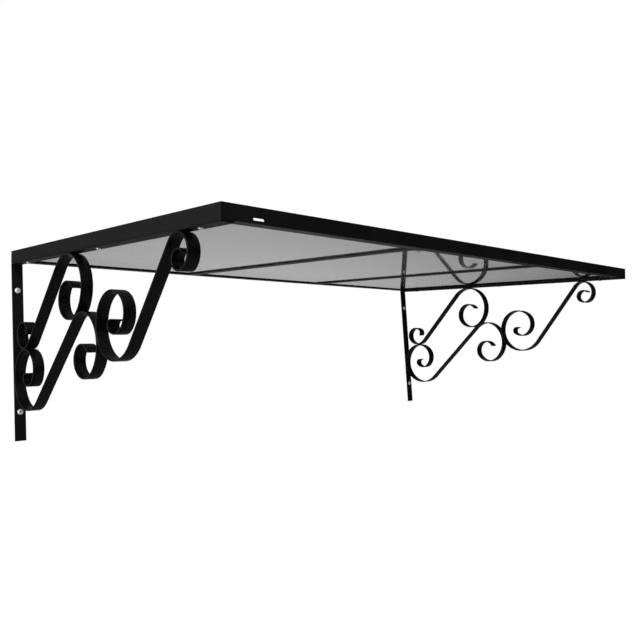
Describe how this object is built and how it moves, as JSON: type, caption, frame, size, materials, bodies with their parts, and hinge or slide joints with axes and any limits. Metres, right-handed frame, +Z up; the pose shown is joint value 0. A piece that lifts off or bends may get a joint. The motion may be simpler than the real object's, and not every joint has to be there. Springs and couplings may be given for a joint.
{
  "type": "door canopy with scroll brackets",
  "caption": "Shallow steel tray carrying one smoked sheet over a doorway, held to the wall by flat-bar brackets with scrollwork.",
  "frame": {"origin": "on the wall plane, at mid width, level with the lower rear edge of the tray", "axes": "+X along the wall to the right as seen from in front, +Y into the wall, +Z up"},
  "size_m": [1.75, 0.9991, 0.5319],
  "materials": {
    "tray_steel": "fine-textured dark grey powder coat",
    "bracket_steel": "satin black powder coat",
    "smoked_sheet": "smooth smoked grey, glossy both sides",
    "zinc_plate": "bright zinc plate"
  },
  "bodies": {
    "root": {"front_rail": "tray_steel", "wall_rail": "tray_steel", "left_rail": "tray_steel", "right_rail": "tray_steel", "rafter_1": "tray_steel", "rafter_2": "tray_steel", "roof_sheet": "smoked_sheet", "top_bar_left": "bracket_steel", "wall_bar_left": "bracket_steel", "rear_upper_scroll_left": "bracket_steel", "rear_lower_scroll_left": "bracket_steel", "front_scroll_left": "bracket_steel", "top_bar_right": "bracket_steel", "wall_bar_right": "bracket_steel", "rear_upper_scroll_right": "bracket_steel", "rear_lower_scroll_right": "bracket_steel", "front_scroll_right": "bracket_steel", "tray_bolt_left_rear": "zinc_plate", "tray_washer_left_rear": "zinc_plate", "tray_nut_left_rear": "zinc_plate", "tray_bolt_left_middle": "zinc_plate", "tray_washer_left_middle": "zinc_plate", "tray_nut_left_middle": "zinc_plate", "tray_bolt_left_front": "zinc_plate", "tray_washer_left_front": "zinc_plate", "tray_nut_left_front": "zinc_plate", "wall_screw_left_upper": "zinc_plate", "wall_screw_left_lower": "zinc_plate", "tray_bolt_right_rear": "zinc_plate", "tray_washer_right_rear": "zinc_plate", "tray_nut_right_rear": "zinc_plate", "tray_bolt_right_middle": "zinc_plate", "tray_washer_right_middle": "zinc_plate", "tray_nut_right_middle": "zinc_plate", "tray_bolt_right_front": "zinc_plate", "tray_washer_right_front": "zinc_plate", "tray_nut_right_front": "zinc_plate", "wall_screw_right_upper": "zinc_plate", "wall_screw_right_lower": "zinc_plate"}
  },
  "joints": []
}
